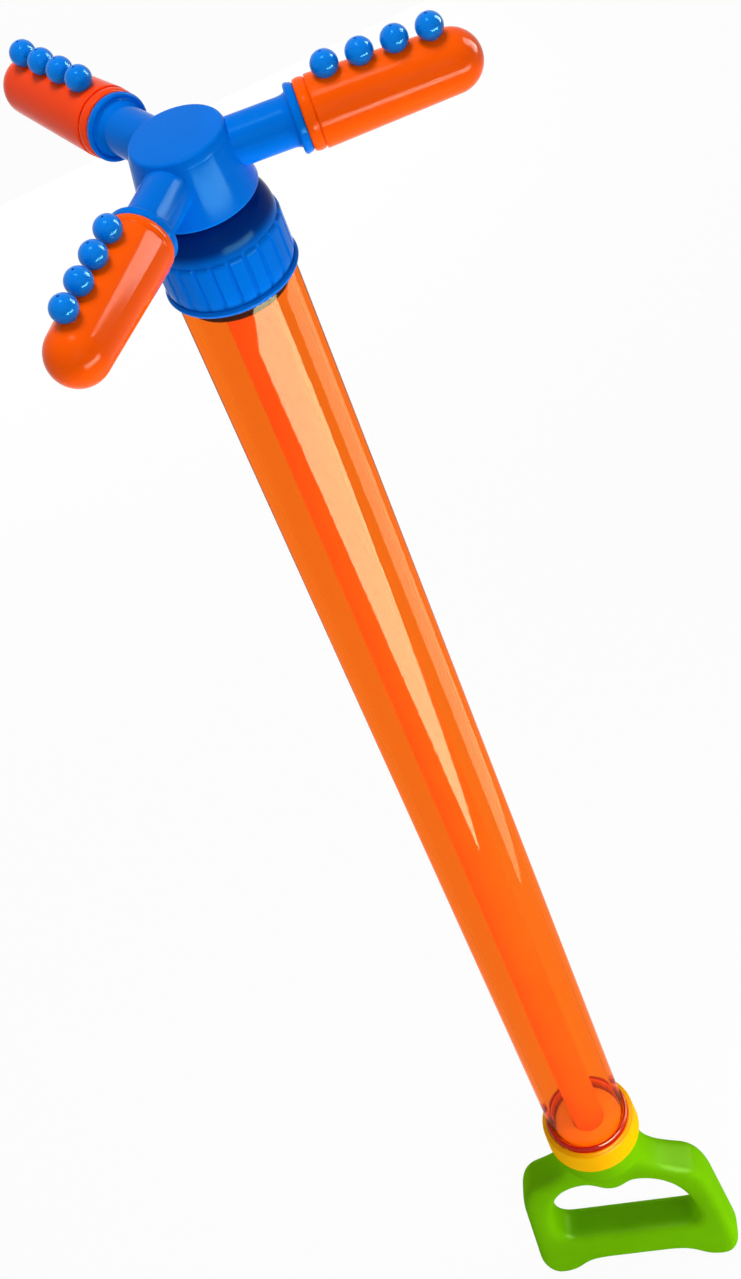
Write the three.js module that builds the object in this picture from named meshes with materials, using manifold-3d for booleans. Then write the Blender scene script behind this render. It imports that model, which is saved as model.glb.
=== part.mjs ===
import * as THREE from "three";
import { mergeVertices } from "three/addons/utils/BufferGeometryUtils.js";
import Module from "manifold-3d";

// Hand-pump water squirter with a spinning three-arm sprinkler head, in millimetres, +Z up the barrel.
// The origin lies on the flat palm face under the grip bar, on the barrel's axis. X runs along the grip bar.
// The pump is pushed in: the handle's neck meets the end cap and the piston is at the top of the barrel.

const wasm = await Module();
wasm.setup();

// Clearances
const SEAT_GAP = 0.3; // between faces that rest on each other
const RUN_GAP = 0.25; // radial gap of parts that slide or turn in each other
const PLUG_GAP = 0.25; // radial gap of a plug or pin in its socket
const SEAL_GAP = 0.12; // between a seal and the walls that it touches

// Handle: a D-shaped grip in the XZ plane with a round neck on top
const HANDLE_THICKNESS = 20;
const HANDLE_EDGE = 5; // rounding of the front and back edges
const GRIP_HEIGHT = 27; // palm face to finger opening
const OPENING_HEIGHT = 56; // grip bar to the tops of the finger lobes
const OPENING_WIDTH = 73;
const OPENING_CORNER = 7; // straight lower edge ends this far inside the opening's sides
const FINGER_SPREAD = 27; // between the tops of the two finger lobes
const BUMP_DROP = 7; // middle bump below the finger lobes
const BUMP_ROUND = 7.5; // how blunt the bump's tip is
const SIDE_WALL = 16; // beside the opening, at the lower corners
const SHOULDER_INSET = 4.2; // shoulders are this much narrower on each side
const SHOULDER_DROP = 21; // shoulder corners start this far below the opening's top
const SHOULDER_CUT = 12; // width of the rounded shoulder corner
const PALM_FLAT = 34; // length of the flat palm face
const LOBE_DROP = 12; // lower lobes below the palm face
const LOBE_INSET = 9.5; // lowest points inside the sides
const CROWN_HEIGHT = 14; // handle above the finger lobes, up to the neck
const NECK_HEIGHT = 26.7;
const NECK_RADIUS = 20.5;
const NECK_COLLAR = 16; // straight upper part of the neck

// Handle screw, rod and piston
const SCREW_RADIUS = 1.9;
const SCREW_LENGTH = 24;
const SCREW_HEAD_RADIUS = 3.2;
const SCREW_HEAD_HEIGHT = 2.6;
const SCREW_SLOT = 0.9;
const SCREW_RECESS = 4; // depth of the head's pocket in the bump
const SCREW_WALL = 10; // handle between the pocket and the rod's socket
const PLUG_LENGTH = 18;
const ROD_RADIUS = 7.5;
const ROD_WALL = 1.6;
const PISTON_HEIGHT = 15.5;
const PISTON_CLEARANCE = 5; // piston top to the stem's disc, pushed in
const PISTON_PLAY = 0.4; // piston to barrel bore
const PISTON_SPIGOT = 14; // length inside the rod
const PISTON_LAND = 1.2; // below the seal
const PISTON_SEAL_HEIGHT = 3.2;
const PISTON_SEAL_DEPTH = 2.4; // radial depth of the seal

// Barrel tube and end cap
const TUBE_RADIUS = 18;
const TUBE_WALL = 2;
const TUBE_LENGTH = 552.4;
const CAP_HEIGHT = 15;
const CAP_FLOOR = 3;
const CAP_WALL = 3.4;
const CAP_EDGE = 1.3;
const END_SEAL_WIDTH = 1.3;
const END_SEAL_RISE = 3; // ring's crown above the cap's rim
const GUIDE_HEIGHT = 11;

// Upper end: gasket, pivot stem and screw collar
const GASKET_THICKNESS = 1.4;
const GASKET_WIDTH = 1.8;
const DISC_THICKNESS = 2.7;
const STEM_RADIUS = 5;
const STEM_BORE = 2.2;
const STEM_TIP = 3; // above the clip
const STEM_SEAL_HEIGHT = 4; // seal's centre above the hub's lower face
const STEM_SEAL_SECTION = 0.7; // radius of the ring's round section
const COLLAR_HEIGHT = 26.6;
const COLLAR_CROWN = 8.2; // from the ledge on the stem's disc to the collar's top
const COLLAR_ROOF = 2.2;
const COLLAR_LEDGE = 1.9; // radial width of the ledge
const COLLAR_WALL = 1.1;
const COLLAR_TOP_RADIUS = 14.5;
const COLLAR_RIM = 1.6; // plain rim under the ribs
const RIB_COUNT = 24;
const RIB_HEIGHT = 0.7;
const RIB_LENGTH = 15.5;
const WASHER_THICKNESS = 1.5;
const WASHER_WIDTH = 4;
const CLIP_THICKNESS = 1.4;
const CLIP_WIDTH = 2.2; // reach beyond the stem
const CLIP_DEPTH = 1.1; // depth of its groove in the stem
const CLIP_OPENING = 70; // degrees

// Spinner: hub, arms, capsules and nozzles
const ARM_COUNT = 3;
const ARM_START = 12; // degrees, first arm from +X
const HUB_HEIGHT = 20.1;
const HUB_TOP_RADIUS = 13.6;
const HUB_RIM_RADIUS = 17.1;
const HUB_WALL = 2;
const HUB_ROOF = 2.2;
const CHAMBER_PLAY = 1; // clip to chamber wall
const CORE_WALL = 2.3;
const HUB_CAP_THICKNESS = 2.4;
const HUB_CAP_SPIGOT = 1.6;
const ARM_DROP = 8.2; // arm axis below the hub's top
const ARM_RADIUS = 7.4;
const ARM_BORE = 3.2;
const ARM_REACH = 34.8; // hub axis to the capsule's seat
const FLANGE_RADIUS = 9.7;
const FLANGE_RIM = 2;
const FLARE_LENGTH = 3.2;
const SPIGOT_LENGTH = 8;
const SPIGOT_SEAL_SECTION = 0.75;
const CAPSULE_LENGTH = 52.8;
const CAPSULE_RADIUS = 9.9; // at the open end
const CAPSULE_DRAFT = 0.6; // narrower by this at the round tip
const CAPSULE_WALL = 1.6;
const BEAD_HEIGHT = 0.6;
const BEAD_WIDTH = 4;
const NOZZLE_COUNT = 4;
const FIRST_NOZZLE = 10.2; // from the capsule's open end
const LAST_NOZZLE = 12.2; // from the capsule's tip
const NOZZLE_STANDOFF = 4.2; // ball's centre above the capsule's skin
const NOZZLE_NECK = 2.2;
const NOZZLE_TAIL = 0.8; // neck inside the capsule's wall
const NOZZLE_HOLE = 0.6;
const BALL_RADIUS = 3.8;

// Facets of round parts
const FINE = 48;
const MEDIUM = 32;
const COARSE = 24;
const SMALL = 12;

// Heights, from the palm face up
const OPENING_TOP_Z = GRIP_HEIGHT + OPENING_HEIGHT;
const BUMP_Z = OPENING_TOP_Z - BUMP_DROP;
const CROWN_Z = OPENING_TOP_Z + CROWN_HEIGHT;
const NECK_TOP_Z = CROWN_Z + NECK_HEIGHT;
const SCREW_SEAT_Z = BUMP_Z + SCREW_RECESS;
const SOCKET_Z = SCREW_SEAT_Z + SCREW_WALL;
const ROD_Z = SOCKET_Z + SEAT_GAP;
const CAP_Z = NECK_TOP_Z + SEAT_GAP;
const CAP_TOP_Z = CAP_Z + CAP_HEIGHT;
const TUBE_Z = CAP_Z + CAP_FLOOR + SEAT_GAP;
const TUBE_TOP_Z = TUBE_Z + TUBE_LENGTH;
const GASKET_Z = TUBE_TOP_Z + SEAT_GAP;
const DISC_Z = GASKET_Z + GASKET_THICKNESS + SEAT_GAP;
const DISC_TOP_Z = DISC_Z + DISC_THICKNESS;
const LEDGE_Z = DISC_TOP_Z + SEAT_GAP;
const COLLAR_TOP_Z = LEDGE_Z + COLLAR_CROWN;
const COLLAR_Z = COLLAR_TOP_Z - COLLAR_HEIGHT;
const RIB_Z = COLLAR_Z + COLLAR_RIM;
const RIB_TOP_Z = RIB_Z + RIB_LENGTH;
const WASHER_Z = COLLAR_TOP_Z + SEAT_GAP;
const HUB_Z = WASHER_Z + WASHER_THICKNESS + SEAT_GAP;
const HUB_TOP_Z = HUB_Z + HUB_HEIGHT;
const HUB_CAP_Z = HUB_TOP_Z - HUB_CAP_THICKNESS;
const HUB_ROOF_Z = HUB_CAP_Z - SEAT_GAP;
const ARM_Z = HUB_TOP_Z - ARM_DROP;
const CHAMBER_Z = ARM_Z - ARM_BORE - SEAT_GAP;
const CLIP_Z = CHAMBER_Z + SEAT_GAP;
const CLIP_TOP_Z = CLIP_Z + CLIP_THICKNESS;
const STEM_TOP_Z = CLIP_TOP_Z + SEAL_GAP + STEM_TIP;
const STEM_SEAL_Z = HUB_Z + STEM_SEAL_HEIGHT;
const PISTON_TOP_Z = DISC_Z - PISTON_CLEARANCE;
const PISTON_Z = PISTON_TOP_Z - PISTON_HEIGHT;
const ROD_TOP_Z = PISTON_Z - SEAT_GAP;

// Radii that follow from a neighbour
const TUBE_BORE = TUBE_RADIUS - TUBE_WALL;
const ROD_BORE = ROD_RADIUS - ROD_WALL;
const PLUG_RADIUS = ROD_BORE - PLUG_GAP;
const GUIDE_BORE = ROD_RADIUS + RUN_GAP;
const PISTON_RADIUS = TUBE_BORE - PISTON_PLAY;
const PISTON_GROOVE = TUBE_BORE - PISTON_SEAL_DEPTH - 2 * SEAL_GAP;
const CAP_BORE = TUBE_RADIUS + END_SEAL_WIDTH + 2 * SEAL_GAP;
const CAP_RADIUS = CAP_BORE + CAP_WALL;
const COLLAR_BORE = TUBE_RADIUS + RUN_GAP;
const COLLAR_RADIUS = COLLAR_BORE + COLLAR_WALL;
const RIB_RADIUS = COLLAR_RADIUS + RIB_HEIGHT;
const DISC_RADIUS = COLLAR_BORE - RUN_GAP;
const STEM_HOLE = STEM_RADIUS + RUN_GAP;
const CLIP_RADIUS = STEM_RADIUS + CLIP_WIDTH;
const CHAMBER_RADIUS = CLIP_RADIUS + CHAMBER_PLAY;
const CORE_RADIUS = CHAMBER_RADIUS + CORE_WALL;
const CAPSULE_BORE = CAPSULE_RADIUS - CAPSULE_WALL;
const SPIGOT_RADIUS = CAPSULE_BORE - RUN_GAP;
const CAPSULE_X = ARM_REACH + SEAT_GAP;
const TIP_RADIUS = CAPSULE_RADIUS - CAPSULE_DRAFT;

// Finishes
const finish = (color, roughness, opacity = 1) =>
  new THREE.MeshStandardMaterial({
    color,
    roughness,
    metalness: 0,
    opacity,
    transparent: opacity < 1,
  });
const GREEN = finish(0x6cb400, 0.45);
const YELLOW = finish(0xffbe00, 0.35);
const RED = finish(0xb4140a, 0.25);
const CLEAR_ORANGE = finish(0xff6a00, 0.12, 0.6);
const ORANGE = finish(0xff5a00, 0.28);
const BLUE = finish(0x0070d8, 0.3);
const WHITE = finish(0xf2e6d0, 0.4);
const BLACK = finish(0x1c1c1c, 0.6);
const STEEL = new THREE.MeshStandardMaterial({ color: 0xb8bcc0, roughness: 0.3, metalness: 1 });

// A solid turned about Z from a profile of [radius, z] points that runs up its outer side.
function turned(profile, facets) {
  const points = profile.map(([r, z]) => new THREE.Vector2(r, z));
  return new THREE.LatheGeometry(points, facets).rotateX(Math.PI / 2);
}

// A ring turned about Z, whose profile closes on its first point.
function ring(profile, facets) {
  return turned([...profile, profile[0]], facets);
}

// A plain ring or sleeve between two radii.
function sleeve(inner, outer, z0, z1, facets) {
  return ring([[inner, z0], [outer, z0], [outer, z1], [inner, z1]], facets);
}

// A plain round bar about Z.
function bar(radius, z0, z1, facets) {
  return turned([[0, z0], [radius, z0], [radius, z1], [0, z1]], facets);
}

// Points of an ellipse arc about [r, z], from angle a0 to a1 in degrees.
function arc(r, z, rr, rz, a0, a1, steps) {
  const points = [];
  for (let i = 0; i <= steps; i++) {
    const a = THREE.MathUtils.degToRad(a0 + ((a1 - a0) * i) / steps);
    points.push([r + rr * Math.cos(a), z + rz * Math.sin(a)]);
  }
  return points;
}

// An O-ring about Z with a round section.
function oRing(radius, section, z, facets) {
  return ring(arc(radius, z, section, section, -180, 120, 5), facets);
}

function solid(geometry) {
  const bare = new THREE.BufferGeometry();
  bare.setAttribute("position", geometry.getAttribute("position"));
  bare.setIndex(geometry.index);
  const merged = mergeVertices(bare);
  return new wasm.Manifold(
    new wasm.Mesh({
      numProp: 3,
      vertProperties: merged.getAttribute("position").array,
      triVerts: new Uint32Array(merged.index.array),
    }),
  );
}

function geometryOf(body) {
  const mesh = body.getMesh();
  const geometry = new THREE.BufferGeometry();
  geometry.setAttribute("position", new THREE.BufferAttribute(mesh.vertProperties, 3));
  geometry.setIndex(new THREE.BufferAttribute(mesh.triVerts, 1));
  geometry.computeVertexNormals();
  return geometry;
}

function piece(name, geometry, material) {
  const mesh = new THREE.Mesh(geometry, material);
  mesh.name = name;
  return mesh;
}

// A closed outline from a path on the right of the axis, mirrored to the left.
function mirrored(path) {
  const right = path.getPoints(7);
  const left = right.slice(1, -1).reverse();
  return [...right, ...left.map((p) => new THREE.Vector2(-p.x, p.y))];
}

function handleOutline() {
  const half = OPENING_WIDTH / 2 + SIDE_WALL;
  const lobe = half - LOBE_INSET;
  const shoulder = half - SHOULDER_INSET;
  const shoulderZ = OPENING_TOP_Z - SHOULDER_DROP;
  const cornerZ = OPENING_TOP_Z + CROWN_HEIGHT * 0.3;
  const ease = (lobe - PALM_FLAT / 2) * 0.55;
  const neck = Math.sqrt(NECK_RADIUS ** 2 - (HANDLE_THICKNESS / 2 - HANDLE_EDGE) ** 2);
  const neckZ = NECK_TOP_Z - NECK_COLLAR;
  const side = new THREE.Path();
  side.moveTo(0, 0);
  side.lineTo(PALM_FLAT / 2, 0);
  side.bezierCurveTo(PALM_FLAT / 2 + ease, 0, lobe - ease, -LOBE_DROP, lobe, -LOBE_DROP);
  side.bezierCurveTo(lobe + LOBE_INSET * 0.7, -LOBE_DROP, half, -LOBE_DROP * 0.4, half, LOBE_DROP * 0.4);
  side.lineTo(shoulder, shoulderZ);
  side.bezierCurveTo(
    shoulder - SHOULDER_INSET * 0.35, shoulderZ + SHOULDER_DROP * 0.7,
    shoulder - SHOULDER_CUT * 0.4, cornerZ - CROWN_HEIGHT * 0.2,
    shoulder - SHOULDER_CUT, cornerZ,
  );
  side.bezierCurveTo(
    neck + SHOULDER_CUT * 0.6, CROWN_Z - CROWN_HEIGHT * 0.3,
    neck, CROWN_Z,
    neck, neckZ + HANDLE_EDGE,
  );
  side.lineTo(0, neckZ + HANDLE_EDGE);
  return new THREE.Shape(mirrored(side));
}

function fingerOpening() {
  const half = OPENING_WIDTH / 2;
  const peak = FINGER_SPREAD / 2;
  const cornerZ = GRIP_HEIGHT + OPENING_CORNER * 1.8;
  const edge = new THREE.Path();
  edge.moveTo(0, GRIP_HEIGHT);
  edge.lineTo(half - OPENING_CORNER, GRIP_HEIGHT);
  edge.bezierCurveTo(
    half - OPENING_CORNER * 0.3, GRIP_HEIGHT,
    half, GRIP_HEIGHT + OPENING_CORNER * 0.7,
    half, cornerZ,
  );
  edge.bezierCurveTo(
    half, cornerZ + (OPENING_TOP_Z - cornerZ) * 0.55,
    peak + (half - peak) * 0.6, OPENING_TOP_Z,
    peak, OPENING_TOP_Z,
  );
  edge.bezierCurveTo(peak - BUMP_ROUND * 0.7, OPENING_TOP_Z, BUMP_ROUND, BUMP_Z, 0, BUMP_Z);
  return new THREE.Path(mirrored(edge));
}

function handle() {
  const outline = handleOutline();
  outline.holes.push(fingerOpening());
  const edge = Math.min(HANDLE_EDGE, HANDLE_THICKNESS * 0.45);
  const depth = HANDLE_THICKNESS - 2 * edge;
  const plate = new THREE.ExtrudeGeometry(outline, {
    depth,
    bevelThickness: edge,
    bevelSize: edge,
    bevelOffset: -edge,
    bevelSegments: 3,
  });
  plate.translate(0, 0, -depth / 2).rotateX(Math.PI / 2);
  const collarZ = NECK_TOP_Z - NECK_COLLAR;
  const footZ = SCREW_SEAT_Z;
  const foot = HANDLE_THICKNESS / 2 - edge / 4;
  const flare = new THREE.QuadraticBezierCurve(
    new THREE.Vector2(foot, footZ),
    new THREE.Vector2(foot + edge / 2, CROWN_Z),
    new THREE.Vector2(NECK_RADIUS, collarZ),
  ).getPoints(6);
  const neck = turned(
    [[0, footZ], ...flare.map((p) => [p.x, p.y]), [NECK_RADIUS, NECK_TOP_Z], [0, NECK_TOP_Z]],
    FINE,
  );
  const socket = bar(ROD_RADIUS + PLUG_GAP, SOCKET_Z, NECK_TOP_Z + 1, MEDIUM);
  const shankHole = bar(SCREW_RADIUS + PLUG_GAP, BUMP_Z, SOCKET_Z + 1, COARSE);
  const headPocket = bar(SCREW_HEAD_RADIUS + PLUG_GAP, GRIP_HEIGHT + 1, SCREW_SEAT_Z, COARSE);
  const body = solid(plate)
    .add(solid(neck))
    .subtract(solid(socket))
    .subtract(solid(shankHole))
    .subtract(solid(headPocket));
  return piece("handle", geometryOf(body), GREEN);
}

function handleScrew() {
  const headTop = SCREW_SEAT_Z - SEAT_GAP;
  const headZ = headTop - SCREW_HEAD_HEIGHT;
  const shank = turned(
    [
      [0, headZ],
      [SCREW_HEAD_RADIUS, headZ],
      [SCREW_HEAD_RADIUS, headTop],
      [SCREW_RADIUS, headTop],
      [SCREW_RADIUS, headTop + SCREW_LENGTH - SCREW_RADIUS],
      [0, headTop + SCREW_LENGTH],
    ],
    COARSE,
  );
  const slot = new THREE.BoxGeometry(3 * SCREW_HEAD_RADIUS, SCREW_SLOT, SCREW_HEAD_HEIGHT);
  slot.translate(0, 0, headZ);
  return piece("handle_screw", geometryOf(solid(shank).subtract(solid(slot))), STEEL);
}

function rodPlug() {
  const plug = sleeve(SCREW_RADIUS + PLUG_GAP, PLUG_RADIUS, ROD_Z, ROD_Z + PLUG_LENGTH, COARSE);
  return piece("rod_plug", plug, WHITE);
}

function plungerRod() {
  return piece("plunger_rod", sleeve(ROD_BORE, ROD_RADIUS, ROD_Z, ROD_TOP_Z, MEDIUM), WHITE);
}

function pistonHead() {
  const sealZ = PISTON_Z + PISTON_LAND;
  const sealTop = sealZ + PISTON_SEAL_HEIGHT + 2 * SEAL_GAP;
  const head = turned(
    [
      [0, PISTON_Z - PISTON_SPIGOT],
      [PLUG_RADIUS, PISTON_Z - PISTON_SPIGOT],
      [PLUG_RADIUS, PISTON_Z],
      [PISTON_RADIUS, PISTON_Z],
      [PISTON_RADIUS, sealZ],
      [PISTON_GROOVE, sealZ],
      [PISTON_GROOVE, sealTop],
      [PISTON_RADIUS, sealTop],
      [PISTON_RADIUS, PISTON_TOP_Z],
      [0, PISTON_TOP_Z],
    ],
    FINE,
  );
  return piece("piston_head", head, BLACK);
}

function pistonSeal() {
  const z0 = PISTON_Z + PISTON_LAND + SEAL_GAP;
  const z1 = z0 + PISTON_SEAL_HEIGHT;
  const outer = TUBE_BORE - SEAL_GAP;
  const inner = PISTON_GROOVE + SEAL_GAP;
  const lip = PISTON_PLAY;
  const seal = ring(
    [[inner, z0], [outer - lip, z0], [outer, z0 + lip], [outer, z1 - lip], [outer - lip, z1], [inner, z1]],
    FINE,
  );
  return piece("piston_seal", seal, BLACK);
}

function barrelTube() {
  return piece("barrel_tube", sleeve(TUBE_BORE, TUBE_RADIUS, TUBE_Z, TUBE_TOP_Z, FINE), CLEAR_ORANGE);
}

function endCap() {
  const floorZ = CAP_Z + CAP_FLOOR;
  const edge = Math.min(CAP_EDGE, CAP_WALL * 0.45);
  const cap = ring(
    [
      [GUIDE_BORE, CAP_Z],
      ...arc(CAP_RADIUS - edge, CAP_Z + edge, edge, edge, -90, 0, 2),
      ...arc(CAP_RADIUS - edge, CAP_TOP_Z - edge, edge, edge, 0, 90, 2),
      ...arc(CAP_BORE + edge, CAP_TOP_Z - edge, edge, edge, 90, 180, 2),
      [CAP_BORE, floorZ],
      [GUIDE_BORE, floorZ],
    ],
    FINE,
  );
  return piece("end_cap", cap, YELLOW);
}

function endSeal() {
  const inner = TUBE_RADIUS + SEAL_GAP;
  const half = END_SEAL_WIDTH / 2;
  const crownZ = CAP_TOP_Z + END_SEAL_RISE - half;
  const seal = ring(
    [
      [inner, TUBE_Z],
      [inner + END_SEAL_WIDTH, TUBE_Z],
      ...arc(inner + half, crownZ, half, half, 0, 180, 4),
    ],
    FINE,
  );
  return piece("end_seal", seal, RED);
}

function rodGuide() {
  const guide = sleeve(GUIDE_BORE, TUBE_BORE - PLUG_GAP, TUBE_Z, TUBE_Z + GUIDE_HEIGHT, FINE);
  return piece("rod_guide", guide, WHITE);
}

function collarGasket() {
  const gasket = sleeve(
    TUBE_RADIUS - GASKET_WIDTH,
    TUBE_RADIUS - PLUG_GAP,
    GASKET_Z,
    GASKET_Z + GASKET_THICKNESS,
    FINE,
  );
  return piece("collar_gasket", gasket, BLACK);
}

function pivotStem() {
  const sealGroove = STEM_HOLE - 2 * (STEM_SEAL_SECTION + SEAL_GAP);
  const sealHalf = STEM_SEAL_SECTION + SEAL_GAP;
  const clipGroove = STEM_RADIUS - CLIP_DEPTH;
  const stem = ring(
    [
      [STEM_BORE, DISC_Z],
      [DISC_RADIUS, DISC_Z],
      [DISC_RADIUS, DISC_TOP_Z],
      [STEM_RADIUS, DISC_TOP_Z],
      [STEM_RADIUS, STEM_SEAL_Z - sealHalf],
      [sealGroove, STEM_SEAL_Z - sealHalf],
      [sealGroove, STEM_SEAL_Z + sealHalf],
      [STEM_RADIUS, STEM_SEAL_Z + sealHalf],
      [STEM_RADIUS, CLIP_Z - SEAL_GAP],
      [clipGroove, CLIP_Z - SEAL_GAP],
      [clipGroove, CLIP_TOP_Z + SEAL_GAP],
      [STEM_RADIUS, CLIP_TOP_Z + SEAL_GAP],
      [STEM_RADIUS, STEM_TOP_Z],
      [STEM_BORE, STEM_TOP_Z],
    ],
    MEDIUM,
  );
  return piece("pivot_stem", stem, BLUE);
}

function stemSeal() {
  const radius = STEM_HOLE - SEAL_GAP - STEM_SEAL_SECTION;
  return piece("stem_seal", oRing(radius, STEM_SEAL_SECTION, STEM_SEAL_Z, COARSE), BLACK);
}

// The collar's outline seen from above: ribs with narrow grooves between them.
function ribOutline() {
  const outline = new THREE.Shape();
  const pitch = (2 * Math.PI) / RIB_COUNT;
  const steps = [[0.1, COLLAR_RADIUS], [0.24, RIB_RADIUS], [0.76, RIB_RADIUS], [0.9, COLLAR_RADIUS]];
  const points = [];
  for (let i = 0; i < RIB_COUNT; i++) {
    for (const [share, radius] of steps) {
      const a = (i + share) * pitch;
      points.push(new THREE.Vector2(radius * Math.cos(a), radius * Math.sin(a)));
    }
  }
  outline.setFromPoints(points);
  const bore = new THREE.Path();
  bore.absarc(0, 0, COLLAR_BORE + COLLAR_WALL / 2, 0, 2 * Math.PI);
  outline.holes.push(bore);
  return outline;
}

function screwCollar() {
  const roofZ = COLLAR_TOP_Z - COLLAR_ROOF;
  const shoulder = arc(
    COLLAR_TOP_RADIUS, RIB_TOP_Z, COLLAR_RADIUS - COLLAR_TOP_RADIUS, COLLAR_TOP_Z - RIB_TOP_Z, 0, 90, 6,
  );
  const ledge = COLLAR_BORE - COLLAR_LEDGE;
  const body = ring(
    [
      [COLLAR_BORE, COLLAR_Z],
      [RIB_RADIUS, COLLAR_Z],
      [RIB_RADIUS, RIB_Z],
      [COLLAR_RADIUS, RIB_Z],
      ...shoulder,
      [STEM_HOLE, COLLAR_TOP_Z],
      [STEM_HOLE, roofZ],
      [COLLAR_TOP_RADIUS - COLLAR_ROOF, roofZ],
      [ledge, LEDGE_Z],
      [COLLAR_BORE, LEDGE_Z],
    ],
    2 * RIB_COUNT,
  );
  const ribs = new THREE.ExtrudeGeometry(ribOutline(), {
    depth: RIB_LENGTH + COLLAR_RIM / 2 + SEAT_GAP,
    bevelEnabled: false,
    curveSegments: RIB_COUNT,
  });
  ribs.translate(0, 0, RIB_Z - COLLAR_RIM / 2);
  return piece("screw_collar", geometryOf(solid(body).add(solid(ribs))), BLUE);
}

function thrustWasher() {
  const washer = sleeve(STEM_HOLE, STEM_HOLE + WASHER_WIDTH, WASHER_Z, WASHER_Z + WASHER_THICKNESS, COARSE);
  return piece("thrust_washer", washer, WHITE);
}

function stemClip() {
  const half = THREE.MathUtils.degToRad(CLIP_OPENING / 2);
  const inner = STEM_RADIUS - CLIP_DEPTH + PLUG_GAP;
  const outline = new THREE.Shape();
  outline.absarc(0, 0, CLIP_RADIUS, half, 2 * Math.PI - half, false);
  outline.absarc(0, 0, inner, 2 * Math.PI - half, half, true);
  const clip = new THREE.ExtrudeGeometry(outline, {
    depth: CLIP_THICKNESS,
    bevelEnabled: false,
    curveSegments: SMALL,
  });
  return piece("stem_clip", clip.translate(0, 0, CLIP_Z), STEEL);
}

// One arm along +X: tube, flared flange and the spigot that the capsule slides on.
function armSolid() {
  const rimX = ARM_REACH - FLANGE_RIM;
  const flareX = rimX - FLARE_LENGTH;
  const sealX = ARM_REACH + SPIGOT_LENGTH / 2;
  const sealHalf = SPIGOT_SEAL_SECTION + SEAL_GAP;
  const groove = CAPSULE_BORE - 2 * (SPIGOT_SEAL_SECTION + SEAL_GAP);
  const flareRise = FLANGE_RADIUS - ARM_RADIUS;
  const flare = arc(ARM_RADIUS + flareRise, flareX, flareRise, FLARE_LENGTH, 180, 100, 4);
  const arm = turned(
    [
      [0, CHAMBER_RADIUS + CORE_WALL / 2],
      [ARM_RADIUS, CHAMBER_RADIUS + CORE_WALL / 2],
      ...flare,
      [FLANGE_RADIUS, rimX],
      [FLANGE_RADIUS, ARM_REACH - FLANGE_RIM * 0.3],
      [FLANGE_RADIUS - FLANGE_RIM * 0.3, ARM_REACH],
      [SPIGOT_RADIUS, ARM_REACH],
      [SPIGOT_RADIUS, sealX - sealHalf],
      [groove, sealX - sealHalf],
      [groove, sealX + sealHalf],
      [SPIGOT_RADIUS, sealX + sealHalf],
      [SPIGOT_RADIUS, ARM_REACH + SPIGOT_LENGTH],
      [0, ARM_REACH + SPIGOT_LENGTH],
    ],
    COARSE,
  );
  return arm.rotateY(Math.PI / 2).translate(0, 0, ARM_Z);
}

function armAngle(i) {
  return THREE.MathUtils.degToRad(ARM_START + (i * 360) / ARM_COUNT);
}

function hub() {
  const slope = (HUB_RIM_RADIUS - HUB_TOP_RADIUS) / HUB_HEIGHT;
  const outerAt = (z) => HUB_RIM_RADIUS - slope * (z - HUB_Z);
  const ceilingZ = HUB_ROOF_Z - HUB_ROOF;
  let body = solid(
    ring(
      [
        [STEM_HOLE, HUB_Z],
        [CORE_RADIUS, HUB_Z],
        [CORE_RADIUS, ceilingZ],
        [outerAt(ceilingZ) - HUB_WALL, ceilingZ],
        [HUB_RIM_RADIUS - HUB_WALL, HUB_Z],
        [HUB_RIM_RADIUS, HUB_Z],
        [outerAt(HUB_ROOF_Z), HUB_ROOF_Z],
        [CHAMBER_RADIUS, HUB_ROOF_Z],
        [CHAMBER_RADIUS, CHAMBER_Z],
        [STEM_HOLE, CHAMBER_Z],
      ],
      FINE,
    ),
  );
  const armEnd = ARM_REACH + SPIGOT_LENGTH;
  for (let i = 0; i < ARM_COUNT; i++) body = body.add(solid(armSolid().rotateZ(armAngle(i))));
  for (let i = 0; i < ARM_COUNT; i++) {
    const bore = bar(ARM_BORE, 0, armEnd + 1, SMALL).rotateY(Math.PI / 2).translate(0, 0, ARM_Z);
    body = body.subtract(solid(bore.rotateZ(armAngle(i))));
  }
  const capPocket = bar(outerAt(HUB_CAP_Z) + SEAT_GAP, HUB_ROOF_Z, HUB_TOP_Z + ARM_RADIUS, FINE);
  return piece("hub", geometryOf(body.subtract(solid(capPocket))), BLUE);
}

function hubCap() {
  const slope = (HUB_RIM_RADIUS - HUB_TOP_RADIUS) / HUB_HEIGHT;
  const plug = CHAMBER_RADIUS - PLUG_GAP;
  const edge = HUB_CAP_THICKNESS * 0.2;
  const cap = turned(
    [
      [0, HUB_CAP_Z - HUB_CAP_SPIGOT],
      [plug, HUB_CAP_Z - HUB_CAP_SPIGOT],
      [plug, HUB_CAP_Z],
      [HUB_TOP_RADIUS + slope * HUB_CAP_THICKNESS, HUB_CAP_Z],
      [HUB_TOP_RADIUS, HUB_TOP_Z - edge],
      [HUB_TOP_RADIUS - edge, HUB_TOP_Z],
      [0, HUB_TOP_Z],
    ],
    FINE,
  );
  return piece("hub_cap", cap, BLUE);
}

// The capsule's outer radius at a distance from its open end.
function capsuleRadius(along) {
  return CAPSULE_RADIUS - (CAPSULE_DRAFT * along) / (CAPSULE_LENGTH - TIP_RADIUS);
}

function nozzleAt(i) {
  const row = CAPSULE_LENGTH - FIRST_NOZZLE - LAST_NOZZLE;
  return FIRST_NOZZLE + (row * i) / (NOZZLE_COUNT - 1);
}

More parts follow.
